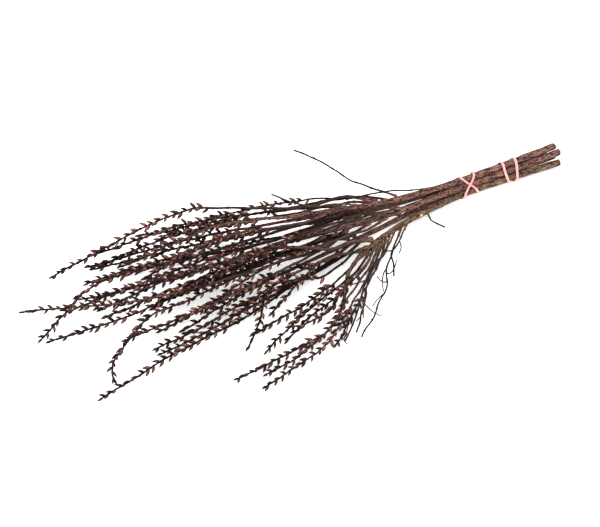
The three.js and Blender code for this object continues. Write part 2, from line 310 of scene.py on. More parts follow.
@dataclass(frozen=True)
class StemBark:
    """Bark of a cut stem: patchy, streaked, speckled with pores and cracked along its grain."""

    name: str
    light: Colour
    dark: Colour
    crack: Colour
    pore: Colour
    scar: Colour

    def material(self) -> bpy.types.Material:
        """Returns the bark's material."""
        graph = Graph(self.name)
        patches = graph.noise(graph.grain(85.0, 210.0), 4.0)
        streaks = graph.noise(graph.grain(110.0, 700.0), 5.0)
        mottle = graph.noise(graph.grain(480.0, 620.0), 4.0)
        cracks = graph.noise(graph.grain(120.0, 560.0), 4.0).rise(0.53, 0.62)
        pores = graph.dots(graph.grain(330.0, 240.0), 0.34) * mottle.rise(0.40, 0.56)
        knot = graph.read(Mark.KNOT)
        scar = graph.read(Mark.SCAR)
        tone = (0.35 * patches + 0.3 * streaks + 0.35 * mottle).rise(0.4, 0.58)
        colour = graph.blend(tone, self.dark, self.light)
        colour = graph.blend(0.8 * cracks, colour, self.crack)
        colour = graph.blend(0.8 * pores, colour, self.pore)
        colour = graph.blend(0.9 * knot, colour, self.crack)
        colour = graph.blend((scar + 0.8 * (mottle - 0.5)).rise(0.4, 0.6), colour, self.scar)
        graph.relief(0.6 * mottle + 0.7 * pores - 1.1 * cracks + 0.5 * streaks, 0.8 * MM)
        return graph.dress(colour, 0.7 + 0.24 * mottle, Specular_IOR_Level=0.12)


@dataclass(frozen=True)
class CutWood:
    """A sawn end: pale wood with year rings, a dark pith and a thin edge of bark."""

    name: str
    early: Colour
    late: Colour
    pith: Colour
    edge: Colour
    ring_width: float = 1.1 * MM

    def material(self) -> bpy.types.Material:
        """Returns the cut end's material."""
        graph = Graph(self.name)
        ring = graph.read(Mark.RING)
        rough = graph.noise(graph.grain(400.0, 400.0), 4.0)
        saw = graph.noise(graph.grain(900.0, 260.0), 2.0)
        rings = ((ring + 0.9 * MM * rough) * (2 * math.pi / self.ring_width)).wave() * 0.5 + 0.5
        colour = graph.blend(0.8 * rings.rise(0.35, 0.95), self.early, self.late)
        colour = graph.blend(1 - ring.rise(0.5 * MM, 1.1 * MM), colour, self.pith)
        colour = graph.blend(graph.read(Mark.ALONG).rise(0.84, 0.93), colour, self.edge)
        colour = graph.blend(0.5 * rough.rise(0.5, 0.75), colour, self.late)
        graph.relief(rings + 1.2 * saw, 0.25 * MM)
        return graph.dress(colour, 0.72 + 0.2 * saw, Specular_IOR_Level=0.3)


@dataclass(frozen=True)
class TwigBark:
    """Thin dark bark of a shoot, with the smooth scales of the buds that it carries and a painted highlight
    on the buds' light-facing sides.
    """

    name: str
    bark_dark: Colour
    bark_light: Colour
    foot_dark: Colour
    foot_light: Colour
    bud_dark: Colour
    bud_red: Colour
    bud_orange: Colour
    bud_foot: Colour

    def material(self) -> bpy.types.Material:
        """Returns the material of a shoot and its buds."""
        graph = Graph(self.name)
        bud = graph.read(Mark.BUD)
        along = graph.read(Mark.ALONG)
        tint = graph.read(Mark.TINT)
        fibres = graph.noise(graph.grain(110.0, 900.0), 4.0)
        specks = graph.noise(graph.grain(420.0, 420.0), 3.0)
        mottle = graph.noise(graph.grain(260.0, 600.0), 3.0)
        bark = graph.blend((0.6 * fibres + 0.4 * tint).rise(0.3, 0.75), self.bark_dark, self.bark_light)
        wood = graph.blend((0.5 * fibres + 0.5 * mottle).rise(0.4, 0.6), self.foot_dark, self.foot_light)
        bark = graph.blend(graph.read(Mark.FOOT), bark, wood)
        bark = graph.blend(0.5 * specks.rise(0.62, 0.7), bark, self.bud_orange)
        # Painted highlight: a lighter orange patch mid-length on each bud, on the sides that face the
        # painted light direction, mottled and stronger on lighter buds.
        belly = along.rise(0.08, 0.32) * (1 - along.rise(0.56, 0.94))
        glow = graph.read(Mark.PAINTED_LIT_SIDE).rise(0.5, 1.0) * belly * mottle.rise(0.3, 0.55)
        scale = graph.blend((tint + 0.5 * mottle - 0.25).rise(0.0, 0.8), self.bud_dark, self.bud_red)
        scale = graph.blend(glow * (0.05 + 0.85 * tint), scale, self.bud_orange)
        scale = graph.blend(1 - along.rise(0.02, 0.2), scale, self.bud_foot)
        graph.relief((1 - bud) * fibres + 0.35 * mottle, 0.3 * MM)
        roughness = 0.74 - 0.34 * bud + 0.14 * mottle
        return graph.dress(graph.blend(bud, bark, scale), roughness, Specular_IOR_Level=0.1)


@dataclass(frozen=True)
class Rubber:
    """Pale rubber of a band, a little chalky and worn."""

    name: str
    body: Colour
    chalk: Colour
    deep: Colour

    def material(self) -> bpy.types.Material:
        """Returns the rubber's material."""
        graph = Graph(self.name)
        place = graph.node("ShaderNodeTexCoord").outputs["Object"]
        clouds = graph.noise(graph.scaled(place, 140.0, 140.0), 3.0)
        dust = graph.noise(graph.scaled(place, 1400.0, 1400.0), 3.0)
        colour = graph.blend(clouds.rise(0.35, 0.65), self.deep, self.body)
        colour = graph.blend(0.5 * dust.rise(0.52, 0.7), colour, self.chalk)
        graph.relief(0.6 * clouds + 0.5 * dust, 0.15 * MM)
        return graph.dress(colour, 0.46 + 0.2 * dust, Specular_IOR_Level=0.4)


@dataclass(frozen=True)
class Paper:
    """Matt white paper of the studio floor, lit a little from below."""

    name: str
    light: Colour
    shade: Colour
    glow: float = 0.45

    def material(self) -> bpy.types.Material:
        """Returns the paper's material."""
        graph = Graph(self.name)
        place = graph.node("ShaderNodeTexCoord").outputs["Object"]
        fibre = graph.noise(graph.scaled(place, 300.0, 300.0), 4.0)
        colour = graph.blend(fibre.rise(0.3, 0.7), self.shade, self.light)
        graph.feed(graph.shader.inputs["Emission Color"], colour)
        return graph.dress(colour, 0.85 + 0.1 * fibre, Specular_IOR_Level=0.1, Emission_Strength=self.glow)


@dataclass(frozen=True)
class Centreline:
    """The line that a stem or twig follows, with its radius at each point."""

    points: np.ndarray
    radii: np.ndarray

    def walked(self) -> np.ndarray:
        """Returns the way walked to each point."""
        steps = np.linalg.norm(np.diff(self.points, axis=0), axis=1)
        return np.concatenate([[0.0], np.cumsum(steps)])

    def longer(self, back: float) -> Centreline:
        """Returns the line with a straight piece added before its first point."""
        away = unit(self.points[0] - self.points[1])
        points = np.vstack([self.points[0] + back * away, self.points])
        return Centreline(points, np.concatenate([self.radii[:1], self.radii]))

    def shorter(self, ahead: float) -> Centreline:
        """Returns the line without its last stretch."""
        walked = self.walked()
        end = walked[-1] - ahead
        kept = walked < end - 1e-6
        points, radii = self.at(np.array([end]))
        return Centreline(np.vstack([self.points[kept], points]), np.concatenate([self.radii[kept], radii]))

    def at(self, way: np.ndarray) -> tuple[np.ndarray, np.ndarray]:
        """Finds places on the line.

        Args:
            way: How far along the line each place is.

        Returns:
            The places and the radii there.
        """
        walked = self.walked()
        points = np.column_stack([np.interp(way, walked, self.points[:, i]) for i in range(3)])
        return points, np.interp(way, walked, self.radii)

    def fine(self, step: float) -> Centreline:
        """Lays a smooth curve through the points.

        Args:
            step: The spacing of the new points.

        Returns:
            The same line with evenly spaced points.
        """
        points = self.points
        padded = np.vstack([2 * points[0] - points[1], points, 2 * points[-1] - points[-2]])
        a, b, c, d = (padded[i : len(padded) - 3 + i, None, :] for i in range(4))
        share = np.linspace(0, 1, 12, endpoint=False)[None, :, None]
        curve = b + 0.5 * share * (c - a)
        curve = curve + 0.5 * share**2 * (2 * a - 5 * b + 4 * c - d)
        curve = curve + 0.5 * share**3 * (3 * b - a - 3 * c + d)
        dense = np.vstack([curve.reshape(-1, 3), points[-1]])
        radii = np.interp(np.arange(len(dense)) / 12, np.arange(len(points)), self.radii)
        line = Centreline(dense, radii)
        total = line.walked()[-1]
        return Centreline(*line.at(np.linspace(0, total, max(4, round(total / step) + 1))))

    def directions(self) -> tuple[np.ndarray, np.ndarray, np.ndarray]:
        """Works out which way the line runs at each point.

        Returns:
            Unit vectors ahead, sideways and up, with sideways level at the start and carried along.
        """
        ahead = unit(np.gradient(self.points, axis=0))
        side = np.empty_like(ahead)
        level = np.cross(ahead[0], UP)
        for i, forward in enumerate(ahead):
            level = level - forward * (level @ forward)
            level = level / np.linalg.norm(level)
            side[i] = level
        return ahead, side, np.cross(side, ahead)


class Solid:
    """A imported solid, as its corners and the edges between them."""

    def __init__(self, node: bpy.types.Object) -> None:
        """Welds the node's corners.

        Args:
            node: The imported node's object, which isn't changed.
        """
        mesh = node.data
        flat = np.empty(3 * len(mesh.vertices))
        mesh.vertices.foreach_get("co", flat)
        places = flat.reshape(-1, 3)
        _, first, same = np.unique(np.round(places / WELD), axis=0, return_index=True, return_inverse=True)
        same = same.reshape(-1)
        self.corners = places[first]
        self.near: list[set[int]] = [set() for _ in first]
        for edge in mesh.edges:
            one, other = (int(same[v]) for v in edge.vertices)
            if one != other:
                self.near[one].add(other)
                self.near[other].add(one)

    def levels(self, start: list[int]) -> list[list[int]]:
        """Walks over the edges from some corners.

        Args:
            start: The corners of the first level.

        Returns:
            Lists of corners that are 0, 1, 2 and more edges away.
        """
        seen = set(start)
        found = [list(start)]
        while found[-1]:
            following = sorted({n for v in found[-1] for n in self.near[v]} - seen)
            seen.update(following)
            found.append(following)
        return found[:-1]

    def stem(self) -> Centreline:
        """Returns the line of a stem from its cut end."""
        start = [int(v) for v in np.argsort(-self.corners[:, 0])[:STEM_CORNERS]]
        return self._through(self.levels(start), 1.0)

    def twig(self) -> tuple[Centreline, float | None]:
        """Reads a shoot.

        Returns:
            Its line from the fork to the tip, and how far along the first bud is, or None without buds.
        """
        tip = next(v for v, near in enumerate(self.near) if self._is_tip(v, near))
        levels = self.levels([tip])
        rings = [levels[0]]
        bud_ring = None
        for depth, level in enumerate(levels[1:-1], start=1):
            beyond = set(levels[depth + 1])
            rings.append([v for v in level if self.near[v] & beyond])
            if len(rings[-1]) < len(level):
                bud_ring = depth
        rings.append(levels[-1])
        line = self._through(rings[::-1], TWIG_SWELL)
        line.radii[-1] = line.radii[-2]
        if bud_ring is None:
            return line, None
        return line, float(line.walked()[len(rings) - 1 - bud_ring])

    def _is_tip(self, corner: int, near: set[int]) -> bool:
        """Returns whether a corner is a point on three corners that all touch."""
        return len(near) == 3 and all(near - {v} <= self.near[v] for v in near)

    def _through(self, rings: list[list[int]], swell: float) -> Centreline:
        """Returns the line through the middles of rings of corners."""
        middles = np.array([self.corners[ring].mean(axis=0) for ring in rings])
        radii = [
            np.linalg.norm(self.corners[ring] - middle, axis=1).mean() / swell
            for ring, middle in zip(rings, middles)
        ]
        return Centreline(middles, np.array(radii))


class Skin:
    """Gathers corners, faces and marks, and makes one mesh piece of them."""

    def __init__(self) -> None:
        """Starts empty."""
        self.corners: list[np.ndarray] = []
        self.grain: list[np.ndarray] = []
        self.marks: dict[Mark, list[np.ndarray]] = {mark: [] for mark in Mark}
        self.faces: list[list[int]] = []
        self.slots: list[int] = []
        self.count = 0

    def add(
        self,
        corners: np.ndarray,
        grain: np.ndarray,
        faces: list[list[int]],
        marks: dict[Mark, np.ndarray | float],
        slot: int = 0,
    ) -> None:
        """Adds a patch of surface.

        Args:
            corners: The patch's corners.
            grain: Each corner's straightened place, for streaks that follow the wood.
            faces: Lists of corner numbers within the patch.
            marks: The numbers that the finish reads; those left out are 0.
            slot: Which of the piece's materials the patch has.
        """
        self.corners.append(corners)
        self.grain.append(grain)
        for mark, kept in self.marks.items():
            kept.append(np.broadcast_to(np.asarray(marks.get(mark, 0.0), dtype=float), len(corners)))
        self.faces.extend([v + self.count for v in face] for face in faces)
        self.slots.extend([slot] * len(faces))
        self.count += len(corners)

    def tube(
        self,
        line: Centreline,
        reach: np.ndarray,
        marks: dict[Mark, np.ndarray | float],
        shift: np.ndarray | None = None,
        capped: bool = False,
    ) -> np.ndarray:
        """Adds a round skin along a line, closed to a point at its far end.

        Args:
            line: The line that it follows.
            reach: The radius at each point of the line, in each direction round it.
            marks: One number, or one for each corner, for each mark.
            shift: How far each corner is moved along the line.
            capped: Whether a flat face closes its near end too.

        Returns:
            The first ring's corners.
        """
        rings, sides = reach.shape
        ahead, side, up = line.directions()
        angle = 2 * np.pi * np.arange(sides) / sides
        sideways = np.cos(angle)[None, :, None] * side[:, None, :]
        upward = np.sin(angle)[None, :, None] * up[:, None, :]
        corners = line.points[:, None, :] + reach[:, :, None] * (sideways + upward)
        if shift is not None:
            corners = corners + shift[:, :, None] * ahead[:, None, :]
        way = np.broadcast_to(line.walked()[:, None], reach.shape)
        grain = np.stack([way, reach * np.cos(angle), reach * np.sin(angle)], axis=-1)
        near_end = [list(range(sides))] if capped else []
        end = line.points[-1] + 0.5 * line.radii[-1] * ahead[-1]
        all_corners = np.vstack([corners.reshape(-1, 3), end])
        all_grain = np.vstack([grain.reshape(-1, 3), [way[-1, 0], 0.0, 0.0]])
        all_marks = {mark: with_tip(number) for mark, number in marks.items()}
        self.add(all_corners, all_grain, near_end + sleeve(rings, sides), all_marks)
        return corners[0]

    def piece(self, name: str, finishes: list[bpy.types.Material]) -> bpy.types.Object:
        """Makes the mesh piece.

        Args:
            name: The piece's name.
            finishes: Its materials, in the order of the slots.

        Returns:
            The object, in the frame.
        """
        mesh = bpy.data.meshes.new(name)
        mesh.from_pydata(np.vstack(self.corners).tolist(), [], self.faces)
        for mark, kept in self.marks.items():
            numbers = np.concatenate(kept)
            if np.any(numbers):
                mesh.attributes.new(mark.value, "FLOAT", "POINT").data.foreach_set("value", numbers)
        grain = mesh.attributes.new("grain", "FLOAT_VECTOR", "POINT")
        grain.data.foreach_set("vector", np.vstack(self.grain).reshape(-1))
        for finish in finishes:
            mesh.materials.append(finish)
        mesh.polygons.foreach_set("material_index", self.slots)
        mesh.polygons.foreach_set("use_smooth", np.ones(len(self.faces), dtype=bool))
        mesh.update()
        made = bpy.data.objects.new(name, mesh)
        bpy.context.scene.collection.objects.link(made)
        return made


@dataclass(frozen=True)
class Knot:
    """A place where a side branch has died or been broken off."""

    share: float
    roll: float
    length: float
    width: float
    height: float
    kind: KnotKind = KnotKind.KNOT


@dataclass
class Stem:
    """A cut stem with its bark, knots and sawn end."""

    name: str
    bark: bpy.types.Material
    wood: bpy.types.Material
    own_knots: tuple[Knot, ...] = ()
    step: float = 2.0 * MM
    sides: int = 28
    ridges: int = 9
    ridge_height: float = 0.13 * MM
    rough_height: float = 0.07 * MM
    spare_knots: int = 6
    bevel: float = 0.7 * MM
    dome: float = 4.0 * MM
    slant: float = 0.16
    slant_fade: float = 10.0 * MM
    sawn_rings: tuple[float, ...] = (1.0, 0.94, 0.86, 0.7, 0.5, 0.3, 0.14)
    sawn_rough: float = 0.07 * MM

    def build(self, read: Centreline) -> bpy.types.Object:
        """Makes the stem in place of its solid.

        Args:
            read: The line of the stem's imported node.

        Returns:
            The stem's piece.
        """
        rng = np.random.default_rng(seed_of(self.name))
        line = read.fine(self.step)
        way = line.walked()
        angle = 2 * np.pi * np.arange(self.sides) / self.sides
        reach = line.radii[:, None] * np.ones(self.sides) + self._relief(rng, way, angle)
        knot, scar = np.zeros_like(reach), np.zeros_like(reach)
        for mark in (*self.own_knots, *self._spare(rng)):
            near, lump = self._around(mark, way, angle, line.radii)
            reach = reach + lump
            if mark.kind is KnotKind.SCAR:
                scar = np.maximum(scar, near)
            else:
                knot = np.maximum(knot, near**4)
        reach = reach * self._ends(way)[:, None]
        lean = self.slant * rng.uniform(0.3, 1.0) * np.cos(angle - rng.uniform(0, 2 * np.pi)) * line.radii[0]
        shift = np.clip(1 - way / self.slant_fade, 0, 1)[:, None] * (lean - lean.min())[None, :]
        skin = Skin()
        marks = {Mark.KNOT: knot, Mark.SCAR: scar}
        rim = skin.tube(line, reach, marks, shift)
        self._sawn_end(skin, rng, rim, line)
        return skin.piece(f"{self.name}_bark", [self.bark, self.wood])

    def _relief(self, rng: np.random.Generator, way: np.ndarray, angle: np.ndarray) -> np.ndarray:
        """Works out the ridges and roughness of the bark.

        Args:
            rng: The stem's own random numbers.
            way: How far along each ring is.
            angle: The directions round the stem.

        Returns:
            What to add to the radius at each corner.
        """
        relief = np.zeros((len(way), len(angle)))
        for _ in range(self.ridges):
            turns = int(rng.integers(1, 8))
            length = rng.uniform(25, 110) * MM
            start = rng.uniform(0, 2 * np.pi)
            wave = np.sin(2 * np.pi * way[:, None] / length + turns * angle[None, :] + start)
            relief += self.ridge_height * rng.uniform(0.4, 1.0) * wave
        rough = rng.normal(0, self.rough_height, relief.shape)
        return relief + rough + 0.7 * np.roll(rough, 1, axis=0)

    def _spare(self, rng: np.random.Generator) -> list[Knot]:
        """Returns small knots spread over the stem."""
        return [
            Knot(
                share=(i + rng.uniform(0.2, 0.8)) / self.spare_knots,
                roll=rng.uniform(0, 2 * np.pi),
                length=rng.uniform(2.6, 4.2) * MM,
                width=rng.uniform(2.0, 3.0) * MM,
                height=rng.uniform(0.5, 1.0) * MM,
            )
            for i in range(self.spare_knots)
        ]

    def _around(
        self, knot: Knot, way: np.ndarray, angle: np.ndarray, radii: np.ndarray
    ) -> tuple[np.ndarray, np.ndarray]:
        """Works out the shape of one knot.

        Args:
            knot: The knot.
            way: How far along each ring is.
            angle: The directions round the stem.
            radii: The stem's radius at each ring.

        Returns:
            How near each corner is to the knot, from 0 to 1, and what to add to the radius there.
        """
        along = (way - knot.share * way[-1])[:, None] / knot.length
        turn = (angle - knot.roll + np.pi) % (2 * np.pi) - np.pi
        across = turn[None, :] * radii[:, None] / knot.width
        away = along**2 + across**2
        near = np.exp(-away)
        return near, knot.height * (near - 0.8 * np.exp(-4 * away))

    def _ends(self, way: np.ndarray) -> np.ndarray:
        """Returns the share of the radius that is left at each ring, by bevel and dome."""
        cut = 0.93 + 0.07 * np.clip(way / self.bevel, 0, 1)
        left = np.clip((way[-1] - way) / self.dome, 0.02, 1)
        return cut * np.sqrt(1 - (1 - left) ** 2)

    def _sawn_end(self, skin: Skin, rng: np.random.Generator, rim: np.ndarray, line: Centreline) -> None:
        """Closes the cut end with a slightly uneven wood face.

        Args:
            skin: The stem's skin.
            rng: The stem's own random numbers.
            rim: The corners of the cut edge.
            line: The stem's line.
        """
        middle = rim.mean(axis=0)
        shares = np.array(self.sawn_rings)
        ahead, side, up = (way[0] for way in line.directions())
        corners = middle + shares[:, None, None] * (rim - middle)[None, :, :]
        uneven = rng.normal(0, self.sawn_rough, corners.shape[:2])
        uneven[0] = 0
        corners = (corners + uneven[:, :, None] * ahead).reshape(-1, 3)
        corners = np.vstack([corners, middle])
        off = corners - middle
        place = np.column_stack([np.zeros(len(off)), off @ side, off @ up])
        count = len(rim)
        faces = []
        for i in range(len(shares) - 1):
            low, high = i * count, (i + 1) * count
            for k in range(count):
                after = (k + 1) % count
                faces.append([low + k, low + after, high + after, high + k])
        last, centre = (len(shares) - 1) * count, len(shares) * count
        faces += [[last + k, last + (k + 1) % count, centre] for k in range(count)]
        marks = {
            Mark.RING: np.linalg.norm(off, axis=1),
            Mark.ALONG: np.append(np.repeat(shares, count), 0.0),
        }
        skin.add(corners, place, faces, marks, slot=1)


@dataclass(frozen=True)
class BudShape:
    """A pointed bud, laid in its own length, width and thickness."""

    sides: int = 10
    stations: tuple[float, ...] = (0.0, 0.07, 0.18, 0.32, 0.48, 0.64, 0.79, 0.91)
    widths: tuple[float, ...] = (0.42, 0.66, 0.92, 1.0, 0.94, 0.74, 0.46, 0.2)
    flatness: float = 0.8
    keel: float = 0.14
    bend: float = 0.1

    def corners(self) -> np.ndarray:
        """Returns corners as shares along, across and off the twig, the point last."""
        angle = 2 * np.pi * np.arange(self.sides) / self.sides
        keel = 1 + self.keel * np.maximum(0, np.sin(angle)) ** 3
        rows = []
        for along, width in zip(self.stations, self.widths):
            across = 0.5 * width * np.cos(angle)
            off = 0.5 * width * self.flatness * keel * np.sin(angle)
            rows.append(np.column_stack([np.full(self.sides, along), across, off]))
        return np.vstack([*rows, [1.0, 0.0, 0.0]])

    def faces(self) -> list[list[int]]:
        """Returns the bud's faces, its foot first."""
        return [list(range(self.sides)), *sleeve(len(self.stations), self.sides)]


@dataclass
class Shoot:
    """A shoot that forks from a stem: bare at its foot, budded or bare to its tip."""

    name: str
    finish: bpy.types.Material
    stems: tuple[Centreline, ...]
    curly: bool = False
    step: float = 2.5 * MM
    sides: int = 8
    root: float = 5.0 * MM
    leader_gap: float = 4.0 * MM
    flare_share: float = 0.97
    flare_fade: float = 16.0 * MM
    foot_fade: float = 14.0 * MM
    stout: float = 1.6 * MM
    stout_fade: float = 50.0 * MM
    collar: float = 0.45
    collar_fade: float = 5.0 * MM
    knuckle: float = 0.28
    knuckle_reach: float = 1.5 * MM
    wobble: float = 1.0 * MM
    zigzag: float = 0.3 * MM
    thinnest: float = 1.15 * MM
    bud_gap: float = 5.8 * MM
    bud_length: float = 11.2 * MM
    bud_width: float = 4.9 * MM
    bud_lean: float = math.radians(35)
    bud_leans: tuple[float, float] = (0.6, 1.4)
    bud_sizes: tuple[float, float] = (0.78, 1.16)
    bud_spread: float = math.radians(78)
    bud_scatter: float = 0.55
    bud_seat: float = 0.55
    bud_twist: float = 70.0 * MM
    young: float = 0.16
    young_reach: float = 60.0 * MM
    tip_lean: float = 0.05
    tip_length: float = 0.8
    tip_width: float = 0.75
    nub_gap: float = 21.0 * MM
    nub_length: float = 2.4 * MM
    wisp_wobble: float = 2.0 * MM
    spur_gap: float = 46.0 * MM
    spur_from: float = 90.0 * MM
    spur_length: float = 38.0 * MM
    spur_lengths: tuple[float, float] = (0.5, 1.0)
    spur_places: tuple[float, float] = (0.35, 0.95)
    spur_roll: float = 2.4
    spur_lean: float = 0.7
    spur_curls: tuple[float, float] = (0.6, 2.2)
    spur_radius: float = 0.95 * MM
    spur_taper: float = 0.25
    spur_steps: int = 12
    spur_sides: int = 6
    dusk: float = 0.7
    dusk_reach: float = 125.0 * MM
    floor_gap: float = 0.4 * MM
    shape: BudShape = BudShape()

    def build(self, node: bpy.types.Object) -> bpy.types.Object:
        """Makes the shoot in place of its solid.

        Args:
            node: The shoot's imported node.

        Returns:
            The shoot's piece.
        """
        rng = np.random.default_rng(seed_of(self.name))
        read, first_bud = Solid(node).twig()
        line = read.longer(self.root).fine(self.step)
        if first_bud is not None:
            line = line.shorter(0.6 * self.bud_length)
        total = line.walked()[-1]
        nodes = self._bud_places(rng, first_bud, total)
        nubs = self._nub_places(rng, first_bud, total)
        wisp = self.curly and first_bud is None and total > self.spur_from
        sway = self.wisp_wobble if wisp else self.wobble
        line = self._crooked(rng, line, nodes, sway)
        skin = Skin()
        tone = rng.uniform(0.0, 1.0)
        knuckles = np.concatenate([nodes, nubs])
        self._twig(skin, line, knuckles, tone, self._flare(read.points[0]))
        self._buds(skin, rng, line, nodes)
        self._nubs(skin, rng, line, nubs)
        if wisp:
            self._spurs(skin, rng, line, tone)
        return skin.piece(f"{self.name}_twig", [self.finish])

    def _flare(self, foot: np.ndarray) -> float:
        """Returns the radius of the stem that the shoot carries on, or 0 where it forks off sideways."""
        ends = [stem for stem in self.stems if np.linalg.norm(stem.points[-1] - foot) < self.leader_gap]
        return float(ends[0].radii[-1]) if ends else 0.0

    def _bud_places(self, rng: np.random.Generator, first: float | None, total: float) -> np.ndarray:
        """Returns how far along the line each bud stands."""
        if first is None:
            return np.zeros(0)
        count = max(2, round((total - first - self.root) / self.bud_gap))
        even = np.linspace(first + self.root, total - 0.3 * self.bud_gap, count)
        return np.sort(even + rng.uniform(-0.4, 0.4, count) * self.bud_gap)

    def _nub_places(self, rng: np.random.Generator, first: float | None, total: float) -> np.ndarray:
        """Returns how far along the bare stretch each sleeping bud stands."""
        end = total if first is None else first + self.root
        count = max(1, round((end - self.root) / self.nub_gap))
        even = self.root + (np.arange(count) + 0.6) * (end - self.root) / count
        return even + rng.uniform(-0.3, 0.1, count) * self.nub_gap

    def _crooked(
        self, rng: np.random.Generator, line: Centreline, nodes: np.ndarray, sway: float
    ) -> Centreline:
        """Bends the line a little, as grown wood does.

        Args:
            rng: The shoot's own random numbers.
            line: The smooth line.
            nodes: Where the buds stand.
            sway: How far it bends to each side.

        Returns:
            The crooked line.
        """
        way = line.walked()
        _, side, up = line.directions()
        grown = np.clip((way - 2 * self.root) / (40 * MM), 0, 1)
        points = line.points.copy()
        for direction in (side, up):
            drift = np.zeros_like(way)
            for _ in range(3):
                length = rng.uniform(28, 95) * MM
                drift += np.sin(2 * np.pi * way / length + rng.uniform(0, 2 * np.pi)) / 3
            points += (sway * grown * drift)[:, None] * direction
        if len(nodes) > 1:
            turns = np.interp(way, nodes, self.zigzag * (-1.0) ** np.arange(len(nodes)), left=0.0)
            points += turns[:, None] * side
        points[:, 2] = np.maximum(points[:, 2], np.maximum(line.radii, self.thinnest) + self.floor_gap)
        return Centreline(points, line.radii)

    def _twig(
        self, skin: Skin, line: Centreline, knuckles: np.ndarray, tone: float, flare: float
    ) -> None:
        """Adds the twig's own round skin, swollen at its foot and at each knuckle.

        Args:
            skin: The shoot's skin.
            line: The shoot's line.
            knuckles: How far along each swelling is.
            tone: How light the bark is.
            flare: The radius of the stem that it carries on, or 0.
        """
        way = line.walked()
        out = np.maximum(way - self.root, 0)
        own = np.maximum(line.radii, self.thinnest)
        swell = 1 + self.collar * np.exp(-out / self.collar_fade) * (flare == 0)
        for knuckle in knuckles:
            swell += self.knuckle * np.exp(-(((way - knuckle) / self.knuckle_reach) ** 2))
        carried = np.maximum(self.flare_share * flare - own, 0) * np.exp(-out / self.flare_fade)
        reach = own * swell + carried
        stoutness = float(np.clip((reach.mean() - self.stout) / self.stout, 0, 1))
        fade = self.foot_fade + self.stout_fade * max(stoutness, float(flare > 0))
        foot = np.exp(-((out / fade) ** 1.5))[:, None] * np.ones(self.sides)
        tint = (tone * self._lightness(way[-1] - way))[:, None] * np.ones(self.sides)
        marks = {Mark.TINT: tint, Mark.FOOT: foot}
        skin.tube(line, reach[:, None] * np.ones(self.sides), marks, capped=True)

    def _lightness(self, left: np.ndarray | float) -> np.ndarray:
        """Returns how light the wood is, as a share, where some way is left to the dusky tip."""
        return 1 - self.dusk * np.clip(1 - left / self.dusk_reach, 0, 1)

    def _spurs(self, skin: Skin, rng: np.random.Generator, line: Centreline, tone: float) -> None:
        """Adds the fine curly side twigs of a bare wisp.

        Args:
            skin: The shoot's skin.
            rng: The shoot's own random numbers.
            line: The shoot's line.
            tone: How light the bark is.
        """
        ahead, side, up = line.directions()
        total = line.walked()[-1]
        for k in range(max(1, round(total / self.spur_gap))):
            at = int(np.searchsorted(line.walked(), total * rng.uniform(*self.spur_places)))
            at = min(at, len(ahead) - 1)
            roll = rng.uniform(-self.spur_roll, self.spur_roll)
            length = self.spur_length * rng.uniform(*self.spur_lengths)
            out = math.cos(roll) * up[at] + math.sin(roll) * side[at]
            curl = rng.uniform(*self.spur_curls) * (1 if k % 2 else -1)
            share = np.linspace(0, 1, self.spur_steps)
            lean = self.spur_lean + curl * share
            heading = np.cos(lean)[:, None] * ahead[at] + np.sin(lean)[:, None] * out
            points = line.points[at] + np.cumsum(heading, axis=0) * length / len(share)
            points[:, 2] = np.maximum(points[:, 2], self.spur_radius + self.floor_gap)
            spur = Centreline(points, self.spur_radius * (1 - self.spur_taper * share))
            reach = spur.radii[:, None] * np.ones(self.spur_sides)
            skin.tube(spur, reach, {Mark.TINT: tone}, capped=True)

    def _buds(self, skin: Skin, rng: np.random.Generator, line: Centreline, nodes: np.ndarray) -> None:
        """Adds the buds, left and right in turn, and one at the tip.

        Args:
            skin: The shoot's skin.
            rng: The shoot's own random numbers.
            line: The shoot's line.
            nodes: How far along each bud stands.
        """
        if not len(nodes):
            return
        total = line.walked()[-1]
        twist = rng.uniform(-0.5, 0.5)
        for k, way in enumerate(nodes):
            young = max(0.0, 1 - (total - way) / self.young_reach)
            size = rng.uniform(*self.bud_sizes) * (1 - self.young * young)
            hand = 1 if k % 2 else -1
            turned = self.bud_spread + rng.normal(0, self.bud_scatter)
            roll = hand * turned + twist * np.sin(way / self.bud_twist)
            lean = self.bud_lean * rng.uniform(*self.bud_leans)
            tint = float(self._lightness(total - way)) * rng.uniform()
            length, width = size * self.bud_length, size * self.bud_width
            self._bud(skin, line, float(way), roll, lean, length, width, tint)
        tint = float(self._lightness(0.0)) * rng.uniform()
        length, width = self.tip_length * self.bud_length, self.tip_width * self.bud_width
        self._bud(skin, line, total, 0.0, self.tip_lean, length, width, tint)

    def _nubs(self, skin: Skin, rng: np.random.Generator, line: Centreline, nubs: np.ndarray) -> None:
        """Adds the small sleeping buds of the bare stretch."""
        for k, way in enumerate(nubs):
            roll = (1 if k % 2 else -1) * (self.bud_spread + rng.normal(0, 0.5))
            size = self.nub_length * rng.uniform(0.6, 1.3)
            self._bud(skin, line, float(way), roll, self.bud_lean, size, 0.6 * size, 0.3 * rng.uniform())

